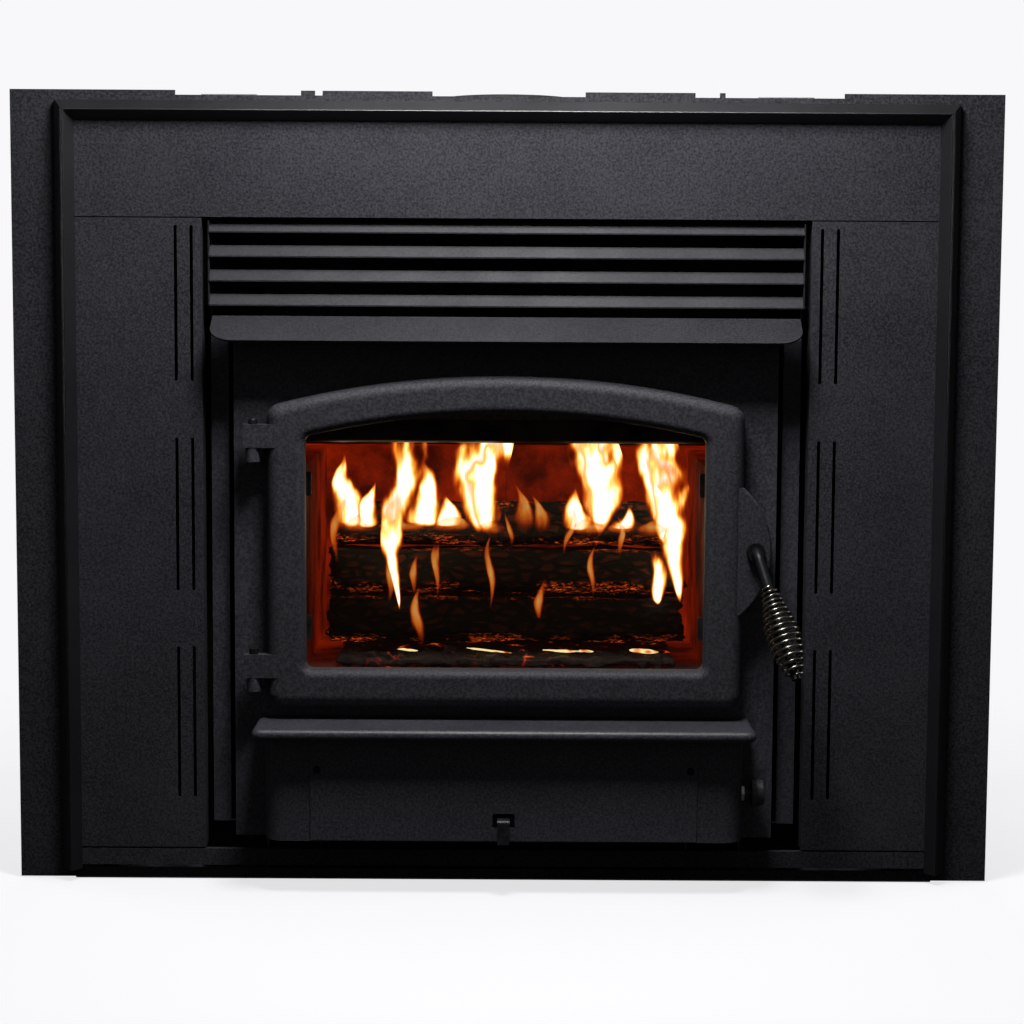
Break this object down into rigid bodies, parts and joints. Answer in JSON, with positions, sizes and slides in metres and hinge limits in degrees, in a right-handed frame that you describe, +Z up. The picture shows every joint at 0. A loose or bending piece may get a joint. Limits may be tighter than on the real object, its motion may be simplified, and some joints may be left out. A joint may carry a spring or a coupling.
{
  "type": "zero clearance fireplace",
  "caption": "Built-in steel wood-burning fireplace with a trimmed face, louvred air grille, hood, arched glass door on pins, coil-grip latch, ash lip and blower.",
  "frame": {"origin": "centre of the cabinet's underside on the wall plane, at floor level", "axes": "+X to the viewer's right along the face, +Y into the wall, +Z up through the flue collar"},
  "size_m": [1.06, 0.7337, 0.868],
  "materials": {
    "bark": "charred split log",
    "blued_bar": "blackened steel bar",
    "cast_door": "matte stove paint on cast iron",
    "ceramic_board": "fibre board",
    "ceramic_glass": "clear glass ceramic",
    "chrome_nut": "bright",
    "disc_thermostat": "plain",
    "ember": "glowing coals and ash",
    "fascia_paint": "matte powder coat",
    "firebox_steel": "heat-darkened mill steel",
    "firebrick": "pumice firebrick",
    "galvanised_sheet": "galvanised",
    "glass_fibre": "knitted glass fibre",
    "mineral_board": "pressed mineral fibre board",
    "motor_case": "lacquered",
    "moulded_plastic": "moulded phenolic",
    "plated_wire": "nickel-plated spring wire",
    "shaft_steel": "ground",
    "slat_paint": "matte powder coat",
    "slide_steel": "plain steel, paint-dusted",
    "stove_paint": "matte high-temperature stove paint",
    "surround_paint": "matte powder coat",
    "trim_paint": "satin powder coat",
    "tube_steel": "stainless, heat-tinted",
    "wheel_sheet": "pressed",
    "zinc_screw": "bright zinc"
  },
  "bodies": {
    "root": {"access_cover": "stove_paint", "air_box": "firebox_steel", "air_manifolds": "tube_steel", "ash_lip": "stove_paint", "back_bricks": "firebrick", "baffle_board": "ceramic_board", "blower_motor": "motor_case", "blower_scrolls": "galvanised_sheet", "bottom_rail": "fascia_paint", "cabinet_floor": "galvanised_sheet", "cabinet_top": "galvanised_sheet", "cabinet_walls": "galvanised_sheet", "control_nut": "chrome_nut", "ember_bed": "ember", "face_screws": "zinc_screw", "firebox_shell": "firebox_steel", "firebox_top": "firebox_steel", "firewood": "bark", "floor_bricks": "firebrick", "flue_collar": "firebox_steel", "front_plate": "stove_paint", "grille_brackets": "slat_paint", "header_panel": "fascia_paint", "hinge_brackets": "stove_paint", "hinge_pins": "blued_bar", "hood": "stove_paint", "insulation_boards": "mineral_board", "insulation_top_board": "mineral_board", "jacket_back_and_floor": "galvanised_sheet", "jacket_sides": "stove_paint", "jacket_top": "galvanised_sheet", "latch_keeper": "stove_paint", "louvre_slats": "slat_paint", "lower_skirt": "stove_paint", "nailing_flanges": "galvanised_sheet", "outer_face_panel": "surround_paint", "outside_air_inlet": "galvanised_sheet", "secondary_air_tubes": "tube_steel", "side_bricks": "firebrick", "side_panel_left": "fascia_paint", "side_panel_right": "fascia_paint", "speed_control": "moulded_plastic", "support_rails": "galvanised_sheet", "thermostat": "disc_thermostat", "top_standoffs": "galvanised_sheet", "trim_left": "trim_paint", "trim_right": "trim_paint", "trim_top": "trim_paint", "wiring_box": "galvanised_sheet"},
    "door": {"door_frame": "cast_door", "door_glass": "ceramic_glass", "door_seals": "glass_fibre", "glass_clips": "slide_steel"},
    "latch": {"latch_handle": "blued_bar", "spring_grip": "plated_wire", "latch_cam": "slide_steel"},
    "air_control": {"air_slide": "slide_steel"},
    "blower_rotor": {"blower_shaft": "shaft_steel", "blower_wheels": "wheel_sheet"},
    "speed_dial": {"speed_knob": "moulded_plastic"}
  },
  "joints": [
    {"name": "door_hinge", "type": "hinge", "parent": "root", "child": "door", "pos_m": [-0.27, -0.03, 0.36], "axis": [0, 0, -1], "range_deg": [0, 110]},
    {"name": "latch_turn", "type": "hinge", "parent": "door", "child": "latch", "pos_m": [0.268, -0.03, 0.369], "axis": [0, -1, 0], "range_deg": [0, 90]},
    {"name": "air_slide_pull", "type": "slide", "parent": "root", "child": "air_control", "axis": [0, -1, 0], "range_m": [0, 0.04]},
    {"name": "blower_spin", "type": "hinge", "parent": "root", "child": "blower_rotor", "pos_m": [0, 0.32, 0.122], "axis": [1, 0, 0], "continuous": true},
    {"name": "speed_dial_turn", "type": "hinge", "parent": "root", "child": "speed_dial", "pos_m": [0.268, -0.033, 0.106], "axis": [1, 0, 0], "range_deg": [0, 270]}
  ]
}
